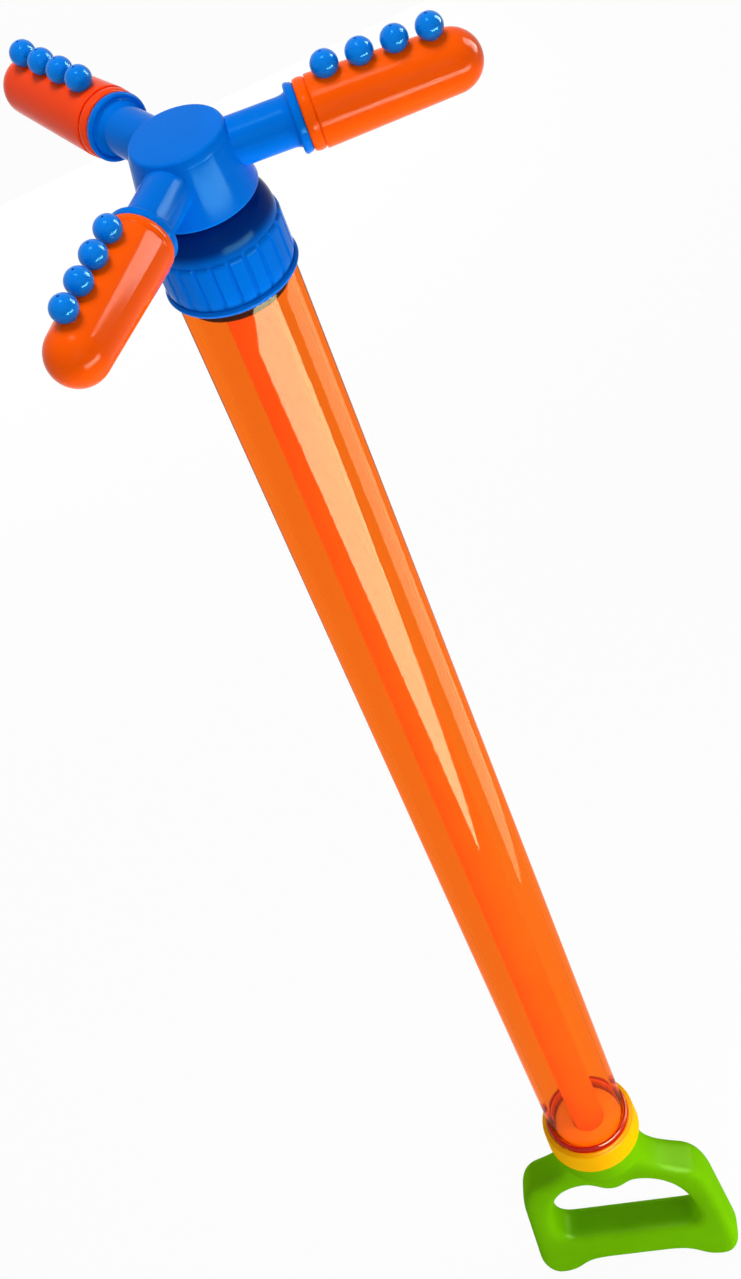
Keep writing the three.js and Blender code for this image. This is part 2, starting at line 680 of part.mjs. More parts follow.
// A capsule about Z with its open end at z = 0, with a hole for each nozzle on its -X side.
function capsule(name) {
  const roundZ = CAPSULE_LENGTH - TIP_RADIUS;
  const innerTip = TIP_RADIUS - CAPSULE_WALL;
  const bead = arc(CAPSULE_RADIUS, BEAD_WIDTH / 2, BEAD_HEIGHT, BEAD_WIDTH / 2, -90, 90, 6);
  const shell = turned(
    [
      ...arc(0, roundZ, innerTip, innerTip, 90, 0, 5).map(([r, z]) => [Math.max(r, 0), z]),
      [CAPSULE_BORE, 0],
      ...bead,
      ...arc(0, roundZ, TIP_RADIUS, TIP_RADIUS, 0, 90, 6).map(([r, z]) => [Math.max(r, 0), z]),
    ],
    COARSE,
  );
  let body = solid(shell);
  for (let i = 0; i < NOZZLE_COUNT; i++) {
    const hole = bar(NOZZLE_NECK + PLUG_GAP, 0, CAPSULE_RADIUS + BALL_RADIUS, SMALL);
    hole.rotateY(-Math.PI / 2).translate(0, 0, nozzleAt(i));
    body = body.subtract(solid(hole));
  }
  return piece(name, geometryOf(body), ORANGE);
}

// A nozzle about Z, measured from the capsule's axis: a neck through the wall and a drilled ball.
function nozzle(name, skin) {
  const centre = skin + NOZZLE_STANDOFF;
  const neckAngle = -THREE.MathUtils.radToDeg(Math.acos(NOZZLE_NECK / BALL_RADIUS));
  const holeAngle = THREE.MathUtils.radToDeg(Math.acos(NOZZLE_HOLE / BALL_RADIUS));
  const root = skin - CAPSULE_WALL - NOZZLE_TAIL;
  const ball = ring(
    [
      [NOZZLE_HOLE, root],
      [NOZZLE_NECK, root],
      ...arc(0, centre, BALL_RADIUS, BALL_RADIUS, neckAngle, holeAngle, 6),
    ],
    SMALL,
  );
  return piece(name, ball, BLUE);
}

// A capsule with its seal and nozzles, laid along its arm.
function armGroup(i) {
  const label = i + 1;
  const group = new THREE.Group();
  group.rotation.z = armAngle(i);
  const lying = new THREE.Group();
  lying.position.set(CAPSULE_X, 0, ARM_Z);
  lying.rotation.y = Math.PI / 2;
  lying.add(capsule(`capsule_${label}`));
  const sealRadius = CAPSULE_BORE - SEAL_GAP - SPIGOT_SEAL_SECTION;
  const sealAlong = SPIGOT_LENGTH / 2 - SEAT_GAP;
  const seal = oRing(sealRadius, SPIGOT_SEAL_SECTION, sealAlong, COARSE);
  lying.add(piece(`capsule_seal_${label}`, seal, BLACK));
  group.add(lying);
  for (let k = 0; k < NOZZLE_COUNT; k++) {
    const ball = nozzle(`nozzle_${label}_${k + 1}`, capsuleRadius(nozzleAt(k)));
    ball.position.set(CAPSULE_X + nozzleAt(k), 0, ARM_Z);
    group.add(ball);
  }
  return group;
}

const plunger = new THREE.Group();
plunger.add(handle(), handleScrew(), rodPlug(), plungerRod(), pistonHead(), pistonSeal());

const barrel = new THREE.Group();
barrel.add(barrelTube(), endCap(), endSeal(), rodGuide(), collarGasket(), pivotStem(), stemSeal());
barrel.add(screwCollar(), thrustWasher(), stemClip());

const spinner = new THREE.Group();
spinner.add(hub(), hubCap());
for (let i = 0; i < ARM_COUNT; i++) spinner.add(armGroup(i));

const squirter = new THREE.Group();
squirter.add(plunger, barrel, spinner);

export default squirter;
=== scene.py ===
import math

import bmesh
import bpy
from mathutils import Euler, Matrix, Quaternion, Vector

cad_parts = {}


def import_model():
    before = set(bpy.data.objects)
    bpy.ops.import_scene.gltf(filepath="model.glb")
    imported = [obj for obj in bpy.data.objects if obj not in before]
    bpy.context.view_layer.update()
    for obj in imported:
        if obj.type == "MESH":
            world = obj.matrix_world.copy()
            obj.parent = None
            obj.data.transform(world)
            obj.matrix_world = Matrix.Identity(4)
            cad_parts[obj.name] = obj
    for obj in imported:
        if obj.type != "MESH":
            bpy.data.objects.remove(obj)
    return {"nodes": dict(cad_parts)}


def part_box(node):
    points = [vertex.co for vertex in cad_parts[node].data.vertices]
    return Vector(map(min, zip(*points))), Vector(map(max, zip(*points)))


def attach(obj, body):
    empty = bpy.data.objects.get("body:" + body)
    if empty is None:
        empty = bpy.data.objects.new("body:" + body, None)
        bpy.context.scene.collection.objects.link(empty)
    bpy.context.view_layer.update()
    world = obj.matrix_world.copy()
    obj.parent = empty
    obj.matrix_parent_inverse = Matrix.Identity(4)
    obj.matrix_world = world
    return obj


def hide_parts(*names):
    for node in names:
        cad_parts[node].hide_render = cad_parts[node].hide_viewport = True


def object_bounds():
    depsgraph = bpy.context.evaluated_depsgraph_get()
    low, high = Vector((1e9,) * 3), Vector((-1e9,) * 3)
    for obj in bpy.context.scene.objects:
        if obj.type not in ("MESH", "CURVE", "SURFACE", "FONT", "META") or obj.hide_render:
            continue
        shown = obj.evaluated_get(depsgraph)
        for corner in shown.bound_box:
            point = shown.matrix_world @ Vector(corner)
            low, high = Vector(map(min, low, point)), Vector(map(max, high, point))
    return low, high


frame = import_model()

# A hand-pump water squirter with a spinning sprinkler head. Lengths are in millimetres, but the camera,
# the stage and the lamps are in metres, as Blender's objects are.

CAD_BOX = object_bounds()
MM = 0.001  # in metres

# Photograph and camera
PHOTO_WIDTH = 741
PHOTO_HEIGHT = 1279
FOCAL_PIXELS = 2027.3
SENSOR = 36
CAMERA_PLACE = (0.1424, -0.4761, 1.0142)
CAMERA_TURN = (41.619, 15.936, 0.101)  # degrees, about X, Y, Z

# Head
ARM_ANGLES = (12, 132, 252)  # degrees from +X
FAR_ARM = 2  # its capsule is a little redder
ARM_DROP = 8.2  # arm axis below the hub's top
ARM_RADIUS = 7.4
ARM_ROOT = 9.4
ARM_REACH = 34.8
FLANGE_RADIUS = 9.7
FLANGE_RIM = 2
FLANGE_EDGE = 0.7
FLARE_LENGTH = 3.2
SPIGOT_RADIUS = 8.0
SPIGOT_LENGTH = 8
HUB_RIM_RADIUS = 17.1
HUB_TOP_RADIUS = 13.6
HUB_WALL = 2
HUB_CORE = 10.5
HUB_POCKET_GAP = 0.3
HUB_ROOF = 3  # thickness over the hollow
HUB_CREASE = 35  # degrees
POCKET_OVERSHOOT = 5  # of the pocket's tool above the hub
DISC_THICKNESS = 2.4
DISC_PLUG = 8
DISC_PLUG_DEPTH = 4  # below the hub's top
STEM_HOLE = 5.3
CAPSULE_RADIUS = 9.9
CAPSULE_TIP = 9.3
CAPSULE_WALL = 1.6
CAPSULE_GAP = 0.3
CAPSULE_LENGTH = 52.8
BEAD_HEIGHT = 0.6
BEAD_WIDTH = 3.6
BEAD_GROOVE = 0.3
BEAD_ROOT = 0.2  # how far inside the shell the bead's arc starts
MOUTH_STEP = 0.4  # from the shell in to the foot of the bead
SHELL_STEP = 0.05  # from the shell's solid in to its skin beside the groove
BALL_RADIUS = 4.05
BALL_SINK = 0.6  # below the top of its solid
BALL_HOLE = 0.4
BALL_HOLE_FLOOR = 0.4  # of the ball's radius, above its centre
NECK_RADIUS = 2.2

# Barrel
TUBE_WALL = 2
RIB_COUNT = 24
RIB_HEIGHT = 0.7
RIB_RIM = 0.8  # height of the rim under the ribs
RIM_STEP = 0.25  # from the ribs' crests in to the rim
RIM_LEDGE = 0.05  # between the rim's top and the ribs
RIB_LENGTH = 16.3
RIB_SHARE = 0.82  # of a pitch
RIB_FLANK = 0.1  # of a pitch, over which a rib's side rises
RIB_END = 1.6  # length over which a rib's upper end falls off
RIB_ROWS = 6
RIB_END_ROWS = 8
RIB_FACETS = 14  # round each rib
COLLAR_TOP_RADIUS = 14.5
COLLAR_GAP = 0.25  # round the tube
COLLAR_ROOF = 2.2
COLLAR_CONE = 6  # height of the cone under the roof
COLLAR_SEAT = 1.9  # from the bore in to the cone's foot
PAINTED_SHADE_HEIGHTS = (682.6, 688)  # heights between which painted shade darkens the collar's shoulder under the hub
CAP_FLOOR = 3
GUIDE_BORE = 7.75
RING_GAP = 0.12  # round the seal rings
INNER_FACE = 0.03  # margin for finding the faces on a ring's inner radius

# Plunger
ROD_WALL = 1.6
PISTON_GAP = 0.3  # to the rod
PISTON_GROOVE = 2.6
HANDLE_VOXEL = 0.75
HANDLE_SMOOTH = 40
NECK_BLEND = (84, 121)  # heights between which the neck melts into the crown
NECK_FADE = 8
NECK_SMOOTH = 160

# Fillets
FINE_FILLET = 0.15
SMALL_FILLET = 0.2
RIM_FILLET = 0.3
EDGE_FILLET = 0.4
DISC_FILLET = 0.5
LIP_FILLET = 0.6
CAP_MOUTH_FILLET = 0.9
PISTON_FILLET = 1.2
CAP_FOOT_FILLET = 1.3
CAP_TOP_FILLET = 1.6
FILLET_STEPS = 6
FILLET_SHARE = 0.49  # of an edge that one fillet may take

# Fine meshes
ROUND = 128
ARM_ROUND = 96
BALL_ROUND = 48
SKIN = 0.03  # how far the capsules' tips stay inside the solids
CREASE = 40  # degrees
SMOOTH_FACTOR = 0.5
ON_AXIS = 1e-6  # a smaller radius is a point on the axis
NEAR = 0.01  # for finding the collar's rows that carry ribs

# Finishes: noise scales per metre, and shares of a finish's own value
COAT_IOR = 2.5
RAMP = (0.3, 0.7)  # noise values of the dark and the light colour
DRIFT_SCALE = 28
GLOSS_SCALE = 420
GLOSS_RANGE = (0.85, 1.2)
GRAIN_STRENGTH = 0.2
TUBE_IOR = 1.01
TUBE_SPECULAR = 0.5
TUBE_DRIFT = (0.95, 1.04)
TUBE_DRIFT_SCALE = 40
TUBE_DRIFT_STRETCH = (1, 1, 0.05)
TUBE_LINES = (1, 1, 0.02)
TUBE_GLOSS_SCALE = 500
TUBE_GLOSS_RANGE = (0.7, 1.3)
TUBE_LINE_SCALE = 220
TUBE_LINE_STRENGTH = 0.05
TUBE_LINE_DEPTH = 0.02
STEEL_DARK = (0.42, 0.43, 0.45)
STEEL_LIGHT = (0.62, 0.63, 0.65)
STEEL_SCALE = 300
STEEL_BRUSH = (1, 1, 8)
STEEL_GLOSS_SCALE = 900
STEEL_ROUGHNESS = (0.2, 0.4)

# Stage, in metres
FLOOR_SIZE = 8  # half of a side
FLOOR_GREY = 0.86
FLOOR_ROUGHNESS = 0.9
FLOOR_WHITE = 0.94  # share of plain white near the object, where the floor keeps a shadow
FLOOR_FADE = (0.6, 2.5)  # distances between which the floor turns all white
WORLD_FILL = 0.25
BEAM = 60  # degrees, of a lamp with a narrow spread
OPEN = 180  # degrees, of a lamp that spreads all round


def srgb(red, green, blue):
    """A display colour, 0 to 255, as the linear colour that a shader takes."""
    shares = [c / 255 for c in (red, green, blue)]
    return tuple(c / 12.92 if c <= 0.04045 else ((c + 0.055) / 1.055) ** 2.4 for c in shares)


# Geometry

def corner_arc(before, corner, after, radius):
    """The points that round a profile's corner."""
    back, ahead = before - corner, after - corner
    half = back.angle(ahead) / 2
    reach = min(radius / math.tan(half), back.length * FILLET_SHARE, ahead.length * FILLET_SHARE)
    start = corner + back.normalized() * reach
    end = corner + ahead.normalized() * reach
    middle = (back.normalized() + ahead.normalized()).normalized()
    centre = corner + middle * (reach / math.cos(half))
    shares = [i / FILLET_STEPS for i in range(FILLET_STEPS + 1)]
    return [centre + (start - centre).slerp(end - centre, share) for share in shares]


def rounded(profile, closed):
    """Profile points from (radius, height) or (radius, height, fillet) corners."""
    places = [Vector(corner[:2]) for corner in profile]
    points = []
    for i, corner in enumerate(profile):
        open_end = not closed and i in (0, len(profile) - 1)
        if len(corner) == 2 or open_end:
            points.append(places[i])
        else:
            points += corner_arc(places[i - 1], places[i], places[(i + 1) % len(places)], corner[2])
    return points


def arc(radius, height, across, up, first, last, steps=12):
    """Profile points on an ellipse about (radius, height), between two angles in degrees."""
    angles = [math.radians(first + (last - first) * i / steps) for i in range(steps + 1)]
    return [(radius + across * math.cos(a), height + up * math.sin(a)) for a in angles]


def creased(piece, degrees):
    """Shades a piece smooth, but for edges sharper than an angle."""
    piece.data.shade_smooth()
    piece.data.set_sharp_from_angle(angle=math.radians(degrees))


def new_object(name, built):
    """A smooth-shaded object from a bmesh in millimetres."""
    bmesh.ops.recalc_face_normals(built, faces=built.faces)
    built.transform(Matrix.Scale(MM, 4))
    mesh = bpy.data.meshes.new(name)
    built.to_mesh(mesh)
    built.free()
    made = bpy.data.objects.new(name, mesh)
    bpy.context.scene.collection.objects.link(made)
    creased(made, CREASE)
    return made


def turned(profile, closed=False, facets=ROUND, swell=None):
    """A bmesh turned about Z. swell gives an extra radius at (radius, height, angle)."""
    points = rounded(profile, closed)
    built = bmesh.new()
    columns = []
    for radius, height in points:
        if radius < ON_AXIS:
            columns.append([built.verts.new((0, 0, height))] * facets)
            continue
        column = []
        for i in range(facets):
            a = 2 * math.pi * i / facets
            r = radius + (swell(radius, height, a) if swell else 0)
            column.append(built.verts.new((r * math.cos(a), r * math.sin(a), height)))
        columns.append(column)
    pairs = list(zip(columns, columns[1:]))
    if closed:
        pairs.append((columns[-1], columns[0]))
    for lower, upper in pairs:
        for i in range(facets):
            k = (i + 1) % facets
            corners = list(dict.fromkeys([lower[i], lower[k], upper[k], upper[i]]))
            if len(corners) > 2:
                built.faces.new(corners)
    return built


def lathe(name, profile, closed=False):
    """A piece turned about Z from a profile."""
    return new_object(name, turned(profile, closed))


def settled(piece):
    """Applies a piece's modifiers."""
    graph = bpy.context.evaluated_depsgraph_get()
    mesh = bpy.data.meshes.new_from_object(piece.evaluated_get(graph))
    piece.modifiers.clear()
    piece.data = mesh


def cut(piece, tool, operation):
    """Joins a tool to a piece or takes it away."""
    change = piece.modifiers.new("cut", "BOOLEAN")
    change.operation = operation
    change.solver = "EXACT"
    change.object = tool
    settled(piece)
    bpy.data.objects.remove(tool)


def softened(piece, voxel, rounds):
    """Gives a piece one even skin with soft edges."""
    remesh = piece.modifiers.new("skin", "REMESH")
    remesh.mode = "VOXEL"
    remesh.voxel_size = voxel * MM
    smooth = piece.modifiers.new("soft", "SMOOTH")
    smooth.factor = SMOOTH_FACTOR
    smooth.iterations = rounds
    settled(piece)
    piece.data.shade_smooth()


def heights(node):
    """A node's lowest and highest point and its reach from the axis along X."""
    low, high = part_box(node)
    return low.z / MM, high.z / MM, high.x / MM


def dress(piece, body, nodes, finish):
    """Gives a piece its body, the nodes that it stands for, and its finish."""
    piece.data.materials.clear()
    piece.data.materials.append(finish)
    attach(piece, body)
    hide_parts(*nodes)


def two_tone(piece, finish, radius):
    """Gives a turned piece's faces inside a radius a second finish."""
    piece.data.materials.append(finish)
    for face in piece.data.polygons:
        if face.center.xy.length < radius * MM:
            face.material_index = 1


# Finishes

class Finish:
    """A node material around one principled shader."""

    def __init__(self, name):
        self.material = bpy.data.materials.new(name)
        self.material.use_nodes = True
        self.tree = self.material.node_tree
        self.shader = self.tree.nodes["Principled BSDF"]
        self.place = self.tree.nodes.new("ShaderNodeTexCoord").outputs["Object"]

    def set(self, **values):
        for name, value in values.items():
            self.shader.inputs[name.replace("_", " ")].default_value = value

    def noise(self, scale, detail, stretch=None):
        texture = self.tree.nodes.new("ShaderNodeTexNoise")
        texture.inputs["Scale"].default_value = scale
        texture.inputs["Detail"].default_value = detail
        place = self.place
        if stretch:
            mapping = self.tree.nodes.new("ShaderNodeMapping")
            mapping.inputs["Scale"].default_value = stretch
            self.tree.links.new(self.place, mapping.inputs["Vector"])
            place = mapping.outputs["Vector"]
        self.tree.links.new(place, texture.inputs["Vector"])
        return texture.outputs["Fac"]

    def colours(self, source, dark, light):
        ramp = self.tree.nodes.new("ShaderNodeValToRGB")
        for stop, place, colour in zip(ramp.color_ramp.elements, RAMP, (dark, light)):
            stop.position = place
            stop.color = (*colour, 1)
        self.tree.links.new(source, ramp.inputs["Fac"])
        self.tree.links.new(ramp.outputs["Color"], self.shader.inputs["Base Color"])

    def paint_shade(self, colour, fade):
        """Paints shade: turns the base colour into a darker one between two heights."""
        base = self.shader.inputs["Base Color"]
        height = self.tree.nodes.new("ShaderNodeSeparateXYZ")
        self.tree.links.new(self.place, height.inputs["Vector"])
        share = self.tree.nodes.new("ShaderNodeMapRange")
        share.interpolation_type = "SMOOTHSTEP"
        share.inputs["From Min"].default_value = fade[0] * MM
        share.inputs["From Max"].default_value = fade[1] * MM
        self.tree.links.new(height.outputs["Z"], share.inputs["Value"])
        mix = self.tree.nodes.new("ShaderNodeMixRGB")
        mix.inputs["Color2"].default_value = (*colour, 1)
        self.tree.links.new(share.outputs["Result"], mix.inputs["Fac"])
        self.tree.links.new(base.links[0].from_socket, mix.inputs["Color1"])
        self.tree.links.new(mix.outputs["Color"], base)

    def range(self, source, low, high, socket):
        spread = self.tree.nodes.new("ShaderNodeMapRange")
        spread.inputs["To Min"].default_value = low
        spread.inputs["To Max"].default_value = high
        self.tree.links.new(source, spread.inputs["Value"])
        self.tree.links.new(spread.outputs["Result"], self.shader.inputs[socket])

    def bump(self, source, strength, depth):
        bump = self.tree.nodes.new("ShaderNodeBump")
        bump.inputs["Strength"].default_value = strength
        bump.inputs["Distance"].default_value = depth * MM
        self.tree.links.new(source, bump.inputs["Height"])
        self.tree.links.new(bump.outputs["Normal"], self.shader.inputs["Normal"])


def moulded(name, colour, roughness, grain, depth, specular=0.2, tint=(1, 1, 1), coat=0.0, drift=0.07,
            painted_shade=None):
    """Moulded plastic: colour drifts a little, gloss varies, the skin has a fine grain, and painted shade
    may darken a band.
    """
    finish = Finish(name)
    finish.set(Specular_IOR_Level=specular, Specular_Tint=(*tint, 1))
    finish.set(Coat_Weight=coat, Coat_IOR=COAT_IOR, Coat_Roughness=roughness)
    dark = tuple(c * (1 - drift) for c in colour)
    light = tuple(min(1, c * (1 + drift)) for c in colour)
    finish.colours(finish.noise(DRIFT_SCALE, 3), dark, light)
    # painted shade: the base colour turns darker between two heights
    if painted_shade:
        finish.paint_shade(painted_shade, PAINTED_SHADE_HEIGHTS)
    low, high = (roughness * share for share in GLOSS_RANGE)
    finish.range(finish.noise(GLOSS_SCALE, 4), low, high, "Roughness")
    finish.bump(finish.noise(grain, 2), GRAIN_STRENGTH, depth)
    return finish.material


def see_through(name, colour, roughness, clear, coat):
    """Translucent extruded plastic with faint lines along the tube."""
    finish = Finish(name)
    finish.set(Specular_IOR_Level=TUBE_SPECULAR, IOR=TUBE_IOR, Transmission_Weight=clear)
    finish.set(Coat_Weight=coat, Coat_IOR=COAT_IOR, Coat_Roughness=roughness)
    dark, light = (tuple(min(1, c * share) for c in colour) for share in TUBE_DRIFT)
    finish.colours(finish.noise(TUBE_DRIFT_SCALE, 2, TUBE_DRIFT_STRETCH), dark, light)
    low, high = (roughness * share for share in TUBE_GLOSS_RANGE)
    finish.range(finish.noise(TUBE_GLOSS_SCALE, 3, TUBE_LINES), low, high, "Roughness")
    finish.bump(finish.noise(TUBE_LINE_SCALE, 1, TUBE_LINES), TUBE_LINE_STRENGTH, TUBE_LINE_DEPTH)
    return finish.material


def plated_steel(name):
    finish = Finish(name)
    finish.set(Metallic=1.0)
    finish.colours(finish.noise(STEEL_SCALE, 3, STEEL_BRUSH), STEEL_DARK, STEEL_LIGHT)
    finish.range(finish.noise(STEEL_GLOSS_SCALE, 3), *STEEL_ROUGHNESS, "Roughness")
    return finish.material


# Tints of the shine and the lamps
WARM = (1, 0.9, 0.7)
COLD = (0.25, 0.95, 1)
PEACH = (1, 1, 0.56)
AMBER = (1, 0.9, 0.5)

# Each finish: name, colour, roughness, then grains per metre and their depth, or clearness and coat
SHOULDER_PAINTED_SHADE = srgb(0, 42, 116)  # painted shade on the collar's shoulder under the hub's overhang
GREEN = moulded("green_satin", srgb(107, 178, 0), 0.34, 1400, 0.04, specular=0, coat=0.012)
YELLOW = moulded("yellow_gloss", srgb(255, 182, 0), 0.2, 900, 0.02, specular=0, coat=0.02)
RED = moulded("red_ring", srgb(180, 12, 8), 0.16, 1500, 0.01, specular=0.2, drift=0.12)
ORANGE = moulded("orange_gloss", srgb(255, 88, 0), 0.12, 700, 0.01, specular=0.06, tint=WARM)
RED_ORANGE = moulded("red_orange_gloss", srgb(250, 68, 18), 0.14, 700, 0.01, specular=0.06, tint=WARM)
BLUE = moulded("blue_satin", srgb(0, 110, 216), 0.15, 900, 0.012, specular=0.04, tint=COLD)
# The collar's blue carries painted shade on its shoulder, under the hub.
COLLAR_BLUE_PAINTED_SHADE = moulded("blue_satin_painted_shade", srgb(0, 110, 216), 0.15, 900, 0.012, specular=0.03,
                      tint=COLD, painted_shade=SHOULDER_PAINTED_SHADE)
BALL_BLUE = moulded("blue_gloss", srgb(0, 124, 230), 0.1, 600, 0.008, specular=0.2, tint=COLD)
ROD = moulded("rod_plastic", srgb(250, 159, 44), 0.3, 800, 0.02)
NATURAL = moulded("natural_plastic", srgb(244, 232, 212), 0.4, 900, 0.03)
BLACK_PLASTIC = moulded("black_plastic", srgb(22, 16, 16), 0.45, 900, 0.02)
BLACK = moulded("black_rubber", srgb(18, 14, 14), 0.5, 1500, 0.03, specular=0.35, drift=0.12)
CLEAR = see_through("clear_orange", srgb(255, 117, 7), 0.04, 0.93, 0.04)
CLEAR_BORE = see_through("clear_bore", srgb(255, 248, 240), 0.04, 1, 0)
STEEL = plated_steel("plated_steel")


# Plunger

def handle():
    source = frame["nodes"]["handle"]
    piece = bpy.data.objects.new("handle_body", source.data.copy())
    bpy.context.scene.collection.objects.link(piece)
    softened(piece, HANDLE_VOXEL, HANDLE_SMOOTH)
    neck = piece.vertex_groups.new(name="neck")
    for point in piece.data.vertices:
        height = point.co.z / MM
        weight = min((height - NECK_BLEND[0]) / NECK_FADE, (NECK_BLEND[1] - height) / NECK_FADE, 1)
        if weight > 0:
            neck.add([point.index], weight, "REPLACE")
    melt = piece.modifiers.new("melt", "SMOOTH")
    melt.factor = SMOOTH_FACTOR
    melt.iterations = NECK_SMOOTH
    melt.vertex_group = "neck"
    settled(piece)
    piece.vertex_groups.clear()
    piece.data.shade_smooth()
    dress(piece, "plunger", ["handle"], GREEN)


def rod():
    low, high, radius = heights("plunger_rod")
    bore = radius - ROD_WALL
    profile = [(bore, low), (radius, low), (radius, high), (bore, high)]
    dress(lathe("rod_tube", profile, True), "plunger", ["plunger_rod"], ROD)


def piston():
    seal_low, seal_high, seal_radius = heights("piston_seal")
    low, high, radius = heights("piston_head")
    rod_high, rod_radius = heights("plunger_rod")[1:]
    base = rod_high + PISTON_GAP
    spigot = rod_radius - ROD_WALL - PISTON_GAP
    groove = seal_radius - PISTON_GROOVE
    head = [
        (0, low),
        (spigot, low, EDGE_FILLET),
        (spigot, base),
        (radius, base, RIM_FILLET),
        (radius, seal_low - RING_GAP),
        (groove, seal_low - RING_GAP),
        (groove, seal_high + RING_GAP),
        (radius, seal_high + RING_GAP),
        (radius, high, PISTON_FILLET),
        (0, high),
    ]
    dress(lathe("piston", head), "plunger", ["piston_head"], BLACK_PLASTIC)
    lips = [
        (groove + RING_GAP, seal_low),
        (seal_radius, seal_low, LIP_FILLET),
        (seal_radius, seal_high, LIP_FILLET),
        (groove + RING_GAP, seal_high),
    ]
    dress(lathe("piston_ring", lips, True), "plunger", ["piston_seal"], BLACK)


# Barrel

def tube():
    low, high, radius = heights("barrel_tube")
    bore = radius - TUBE_WALL
    ends = [(bore, low), (radius, low), (radius, high), (bore, high)]
    profile = [(*corner, EDGE_FILLET) for corner in ends]
    piece = lathe("barrel", profile, True)
    dress(piece, "barrel", ["barrel_tube"], CLEAR)
    two_tone(piece, CLEAR_BORE, bore + TUBE_WALL / 2)


def end_ring():
    low, high, radius = heights("end_cap")
    seal_low, seal_high, seal_radius = heights("end_seal")
    tube_radius = heights("barrel_tube")[2]
    bore = seal_radius + RING_GAP
    cap = [
        (GUIDE_BORE, low),
        (radius, low, CAP_FOOT_FILLET),
        (radius, high, CAP_TOP_FILLET),
        (bore, high, CAP_MOUTH_FILLET),
        (bore, low + CAP_FLOOR),
        (GUIDE_BORE, low + CAP_FLOOR),
    ]
    dress(lathe("end_ring", cap, True), "barrel", ["end_cap"], YELLOW)
    inner = tube_radius + RING_GAP
    seal = [
        (inner, seal_low),
        (seal_radius, seal_low),
        (seal_radius, seal_high, LIP_FILLET),
        (inner, seal_high, LIP_FILLET),
    ]
    ring = lathe("end_seal_ring", seal, True)
    dress(ring, "barrel", ["end_seal"], RED)
    two_tone(ring, ROD, inner + INNER_FACE)


def collar():
    low, high, radius = heights("screw_collar")
    tube_radius = heights("barrel_tube")[2]
    body = radius - RIB_HEIGHT
    rib_low, rib_high = low + RIB_RIM, low + RIB_RIM + RIB_LENGTH
    bore = tube_radius + COLLAR_GAP
    roof = high - COLLAR_ROOF
    foot = roof - COLLAR_CONE

    def rib(r, z, a):
        if abs(r - body) > NEAR or not rib_low <= z <= rib_high:
            return 0
        share = (a * RIB_COUNT / (2 * math.pi)) % 1
        side = min(1, max(0, (RIB_SHARE / 2 - abs(share - 0.5)) / RIB_FLANK + 0.5))
        end = min(1, max(0, (rib_high - z) / RIB_END))
        soft = side * side * (3 - 2 * side)
        return RIB_HEIGHT * soft * math.sqrt(end * (2 - end))

    ribs = [(body, rib_low + RIB_LENGTH * i / RIB_ROWS) for i in range(RIB_ROWS)]
    ribs += [(body, rib_high - RIB_END * (1 - i / RIB_END_ROWS)) for i in range(RIB_END_ROWS + 1)]
    profile = [
        (bore, low, RIM_FILLET),
        (radius - RIM_STEP, low, EDGE_FILLET),
        (radius - RIM_STEP, rib_low - RIM_LEDGE, SMALL_FILLET),
        *ribs,
        *arc(COLLAR_TOP_RADIUS, rib_high, body - COLLAR_TOP_RADIUS, high - rib_high, 4, 90, 14),
        (STEM_HOLE, high),
        (STEM_HOLE, roof),
        (COLLAR_TOP_RADIUS - COLLAR_ROOF, roof),
        (bore - COLLAR_SEAT, foot),
        (bore, foot),
    ]
    built = turned(profile, True, RIB_COUNT * RIB_FACETS, rib)
    dress(new_object("collar", built), "barrel", ["screw_collar"], COLLAR_BLUE_PAINTED_SHADE)


# Spinner

def laid(built, angle, height):
    """Lays a bmesh that was turned about Z along an arm."""
    place = Matrix.Rotation(math.radians(angle), 4, "Z") @ Matrix.Translation((0, 0, height))
    built.transform(place @ Matrix.Rotation(math.pi / 2, 4, "Y"))
    return built


def arm_profile():
    back = ARM_REACH - FLANGE_RIM
    crest = FLANGE_RADIUS - FLANGE_EDGE
    return [
        (0, ARM_ROOT),
        (ARM_RADIUS, ARM_ROOT),
        *arc(crest, back - FLARE_LENGTH, crest - ARM_RADIUS, FLARE_LENGTH, 180, 96),
        (FLANGE_RADIUS, back, FLANGE_EDGE),
        (FLANGE_RADIUS, ARM_REACH, FLANGE_EDGE),
        (SPIGOT_RADIUS, ARM_REACH),
        (SPIGOT_RADIUS, ARM_REACH + SPIGOT_LENGTH, LIP_FILLET),
        (0, ARM_REACH + SPIGOT_LENGTH),
    ]


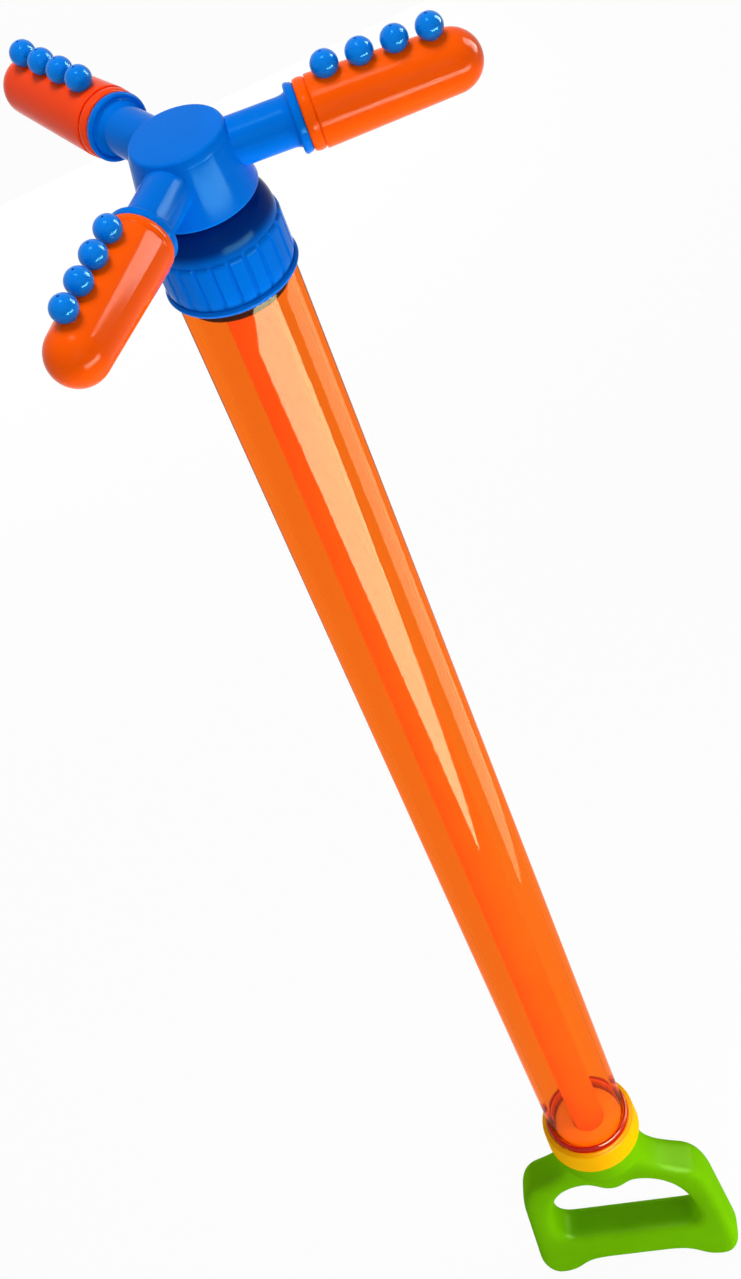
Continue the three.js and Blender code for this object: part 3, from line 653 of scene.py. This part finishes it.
def hub():
    top = heights("hub_cap")[1]
    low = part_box("hub")[0].z / MM
    seat = top - DISC_THICKNESS
    roof = seat - HUB_POCKET_GAP
    slope = (HUB_RIM_RADIUS - HUB_TOP_RADIUS) / (top - low)
    ceiling = roof - HUB_ROOF
    cone = [
        (STEM_HOLE, low),
        (HUB_CORE, low),
        (HUB_CORE, ceiling),
        (HUB_RIM_RADIUS - HUB_WALL - slope * (ceiling - low), ceiling),
        (HUB_RIM_RADIUS - HUB_WALL, low),
        (HUB_RIM_RADIUS, low, EDGE_FILLET),
        (HUB_TOP_RADIUS + slope * (top - roof), roof, FINE_FILLET),
        (STEM_HOLE, roof),
    ]
    piece = lathe("hub_body", cone, True)
    for angle in ARM_ANGLES:
        arm = new_object("arm", laid(turned(arm_profile(), facets=ARM_ROUND), angle, top - ARM_DROP))
        cut(piece, arm, "UNION")
    room = HUB_TOP_RADIUS + HUB_POCKET_GAP
    above = top + POCKET_OVERSHOOT
    pocket = [(0, roof), (room + slope * DISC_THICKNESS, roof), (room, above), (0, above)]
    cut(piece, lathe("pocket", pocket), "DIFFERENCE")
    creased(piece, HUB_CREASE)
    dress(piece, "spinner", ["hub"], BLUE)
    plug = [
        (0, top - DISC_PLUG_DEPTH),
        (DISC_PLUG, top - DISC_PLUG_DEPTH),
        (DISC_PLUG, seat),
        (HUB_TOP_RADIUS + slope * DISC_THICKNESS, seat, FINE_FILLET),
        (HUB_TOP_RADIUS, top, DISC_FILLET),
        (0, top),
    ]
    dress(lathe("hub_disc", plug), "spinner", ["hub_cap"], BLUE)


def capsule(i, angle):
    seat = ARM_REACH + CAPSULE_GAP
    tip = CAPSULE_TIP - SKIN
    round_at = seat + CAPSULE_LENGTH - CAPSULE_TIP
    inner = CAPSULE_TIP - CAPSULE_WALL
    bead_root = CAPSULE_RADIUS - BEAD_ROOT
    half = BEAD_WIDTH / 2
    bead = arc(bead_root, seat + half, BEAD_HEIGHT + BEAD_ROOT, half, -80, 75)
    profile = [
        *arc(0, round_at, inner, inner, 90, 0, 10),
        (CAPSULE_RADIUS - CAPSULE_WALL, seat),
        (CAPSULE_RADIUS - MOUTH_STEP, seat),
        *bead,
        (CAPSULE_RADIUS - BEAD_GROOVE, seat + BEAD_WIDTH),
        (CAPSULE_RADIUS - BEAD_GROOVE, seat + BEAD_WIDTH + BEAD_GROOVE),
        (CAPSULE_RADIUS - SHELL_STEP, seat + BEAD_WIDTH + 2 * BEAD_GROOVE, SMALL_FILLET),
        *arc(0, round_at, tip, tip, 0, 90, 20),
    ]
    height = heights("hub_cap")[1] - ARM_DROP
    piece = new_object(f"capsule_shell_{i}", laid(turned(profile, facets=ARM_ROUND), angle, height))
    finish = RED_ORANGE if i == FAR_ARM else ORANGE
    dress(piece, "spinner", [f"capsule_{i}"], finish)


def nozzle(node):
    low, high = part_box(node)
    place = (low + high) / 2 / MM
    root = low.z / MM
    hole_at = math.acos(BALL_HOLE / BALL_RADIUS)
    ball_z = high.z / MM - BALL_SINK - BALL_RADIUS * math.sin(hole_at)
    neck_at = -math.acos(NECK_RADIUS / BALL_RADIUS)
    ball = arc(0, ball_z, BALL_RADIUS, BALL_RADIUS, math.degrees(neck_at), math.degrees(hole_at), 24)
    hole_floor = ball_z + BALL_RADIUS * BALL_HOLE_FLOOR
    profile = [
        (0, root),
        (NECK_RADIUS, root),
        *ball,
        (BALL_HOLE, hole_floor),
        (0, hole_floor),
    ]
    built = turned(profile, facets=BALL_ROUND)
    built.transform(Matrix.Translation((place.x, place.y, 0)))
    piece = new_object(node.replace("nozzle", "ball"), built)
    dress(piece, "spinner", [node], BALL_BLUE)


def kept_nodes():
    """The inner pieces whose CAD shape is right get their finish."""
    finishes = {
        "handle_screw": STEEL,
        "rod_plug": NATURAL,
        "rod_guide": NATURAL,
        "collar_gasket": BLACK,
        "pivot_stem": BLUE,
        "stem_seal": BLACK,
        "thrust_washer": NATURAL,
        "stem_clip": STEEL,
        "capsule_seal_1": BLACK,
        "capsule_seal_2": BLACK,
        "capsule_seal_3": BLACK,
    }
    for name, finish in finishes.items():
        for kept in frame["nodes"][name].material_slots:
            kept.material = finish


# Stage, lamps and camera

def background_share(tree):
    """1 for a ray that shows the background: straight from the camera, mirrored or through the barrel."""
    path = tree.nodes.new("ShaderNodeLightPath")
    total = path.outputs["Is Camera Ray"]
    for name in ("Is Glossy Ray", "Is Transmission Ray"):
        either = tree.nodes.new("ShaderNodeMath")
        either.operation = "MAXIMUM"
        tree.links.new(total, either.inputs[0])
        tree.links.new(path.outputs[name], either.inputs[1])
        total = either.outputs["Value"]
    return total


def floor():
    """A pale floor that keeps a faint shadow and turns into the white background with distance."""
    low = CAD_BOX[0].z
    mesh = bpy.data.meshes.new("floor")
    size = FLOOR_SIZE
    corners = [(-size, -size, low), (size, -size, low), (size, size, low), (-size, size, low)]
    mesh.from_pydata(corners, [], [(0, 1, 2, 3)])
    piece = bpy.data.objects.new("floor", mesh)
    bpy.context.scene.collection.objects.link(piece)
    made = bpy.data.materials.new("pale_floor")
    made.use_nodes = True
    tree = made.node_tree
    shader = tree.nodes["Principled BSDF"]
    shader.inputs["Base Color"].default_value = (FLOOR_GREY, FLOOR_GREY, FLOOR_GREY, 1)
    shader.inputs["Roughness"].default_value = FLOOR_ROUGHNESS
    white = tree.nodes.new("ShaderNodeEmission")
    white.inputs["Color"].default_value = (1, 1, 1, 1)
    mix = tree.nodes.new("ShaderNodeMixShader")
    distance = tree.nodes.new("ShaderNodeVectorMath")
    distance.operation = "LENGTH"
    tree.links.new(tree.nodes.new("ShaderNodeTexCoord").outputs["Object"], distance.inputs[0])
    fade = tree.nodes.new("ShaderNodeMapRange")
    fade.inputs["From Min"].default_value = FLOOR_FADE[0]
    fade.inputs["From Max"].default_value = FLOOR_FADE[1]
    fade.inputs["To Min"].default_value = FLOOR_WHITE
    fade.inputs["To Max"].default_value = 1
    tree.links.new(distance.outputs["Value"], fade.inputs["Value"])
    share = tree.nodes.new("ShaderNodeMath")
    share.operation = "MULTIPLY"
    tree.links.new(fade.outputs["Result"], share.inputs[1])
    tree.links.new(background_share(tree), share.inputs[0])
    tree.links.new(share.outputs["Value"], mix.inputs["Fac"])
    tree.links.new(shader.outputs["BSDF"], mix.inputs[1])
    tree.links.new(white.outputs["Emission"], mix.inputs[2])
    tree.links.new(mix.outputs["Shader"], tree.nodes["Material Output"].inputs["Surface"])
    mesh.materials.append(made)


def world():
    """A white background that lights the object only weakly."""
    made = bpy.data.worlds.new("studio")
    made.use_nodes = True
    tree = made.node_tree
    light = tree.nodes["Background"]
    light.inputs["Color"].default_value = (1, 1, 1, 1)
    strength = tree.nodes.new("ShaderNodeMapRange")
    strength.inputs["To Min"].default_value = WORLD_FILL
    strength.inputs["To Max"].default_value = 1
    tree.links.new(background_share(tree), strength.inputs["Value"])
    tree.links.new(strength.outputs["Result"], light.inputs["Strength"])
    bpy.context.scene.world = made


def softbox(name, place, aim, width, height, radiance, light=True, shine=True, roll=0, spread=OPEN,
            colour=(1, 1, 1), reach=None):
    """A rectangular lamp, in metres, that looks at a point. It can give light, shine or both, and reach
    all pieces or only the named ones."""
    half = math.radians(spread) / 2
    focus = 1 if spread == OPEN else math.tan(half) / (math.tan(half) - half)
    lamp = bpy.data.lights.new(name, "AREA")
    lamp.shape = "RECTANGLE"
    lamp.size = width
    lamp.size_y = height
    lamp.color = colour
    lamp.spread = 2 * half
    lamp.energy = radiance * math.pi * width * height / focus
    made = bpy.data.objects.new(name, lamp)
    made.location = place
    facing = (Vector(aim) - Vector(place)).to_track_quat("-Z", "Y")
    made.rotation_euler = (facing @ Quaternion((0, 0, 1), math.radians(roll))).to_euler()
    made.visible_camera = False
    made.visible_diffuse = light
    made.visible_transmission = False
    made.visible_glossy = shine
    bpy.context.scene.collection.objects.link(made)
    if reach:
        group = bpy.data.collections.new(name + "_reach")
        for piece in reach:
            group.objects.link(bpy.data.objects[piece])
        made.light_linking.receiver_collection = group


def around(degrees, distance, height):
    """A point in metres round the barrel's axis. Zero degrees is +X."""
    a = math.radians(degrees)
    return (distance * math.cos(a), distance * math.sin(a), height)


def lamps():
    """Lights the stage. Each lamp has a place, an aim, a width, a height and a radiance."""
    head = (0, 0, 0.7)
    grip = (0, 0, 0.1)
    middle = (0, 0, 0.4)
    world()
    pieces = [piece.name for piece in bpy.context.scene.objects if piece.type == "MESH"]
    lower = ("barrel", "end_ring", "end_seal_ring", "handle_body")
    upper = [name for name in pieces if name not in (*lower, "rod_tube")]
    arms = [name for name in pieces if name.startswith(("capsule_shell", "ball", "hub_body"))]
    softbox("top_light", (0, 0.18, 1.6), head, 0.3, 0.3, 20, shine=False, reach=upper)
    softbox("camera_light", around(-75, 0.8, 1.15), head, 0.5, 0.5, 4, shine=False, reach=upper)
    softbox("key_light", around(-32, 0.38, 0.05), head, 0.4, 0.12, 42, shine=False, spread=BEAM,
            reach=upper)
    softbox("fill_light", around(-112, 0.5, 0.12), head, 0.4, 0.15, 12, shine=False, spread=BEAM,
            reach=upper)
    softbox("front_light", around(-50, 1, 0.22), grip, 0.6, 0.4, 12, shine=False, spread=BEAM)
    softbox("right_light", around(0, 0.9, 0.3), grip, 0.5, 0.5, 10.5, shine=False, spread=BEAM)
    softbox("left_light", around(-165, 1, 0.28), grip, 0.5, 0.5, 4, shine=False, spread=BEAM, reach=lower)
    softbox("back_light", around(112, 1.25, 0.3), middle, 0.8, 0.8, 3, shine=False)
    softbox("low_shine", (0.299, -0.19, 0.38), (0.299, 0, 0.38), 0.5, 0.42, 50, light=False, roll=9,
            colour=PEACH, reach=lower)
    softbox("right_shine", (0.2, 0.1, 0.32), (0, 0.1, 0.32), 0.2, 0.46, 17, light=False, colour=AMBER,
            reach=lower)
    softbox("head_shine", around(-47, 0.5, 0.575), head, 0.53, 0.12, 36, light=False)
    softbox("top_shine", (0.02, -0.1, 1.5), head, 0.25, 0.2, 14, light=False)
    softbox("side_shine", around(28, 0.8, 0.9), (0, 0, 0.9), 0.3, 0.62, 26, light=False, reach=arms)


def camera():
    lens = bpy.data.cameras.new("photo_camera")
    lens.sensor_width = SENSOR
    lens.lens = FOCAL_PIXELS / max(PHOTO_WIDTH, PHOTO_HEIGHT) * SENSOR
    made = bpy.data.objects.new("photo_camera", lens)
    made.location = CAMERA_PLACE
    made.rotation_euler = Euler([math.radians(a) for a in CAMERA_TURN])
    bpy.context.scene.collection.objects.link(made)
    bpy.context.scene.camera = made


camera()
handle()
rod()
piston()
tube()
end_ring()
collar()
hub()
for number, turn in enumerate(ARM_ANGLES, 1):
    capsule(number, turn)
for node_name in sorted(frame["nodes"]):
    if node_name.startswith("nozzle_"):
        nozzle(node_name)
kept_nodes()
floor()
lamps()
bpy.context.scene.view_settings.view_transform = "Standard"
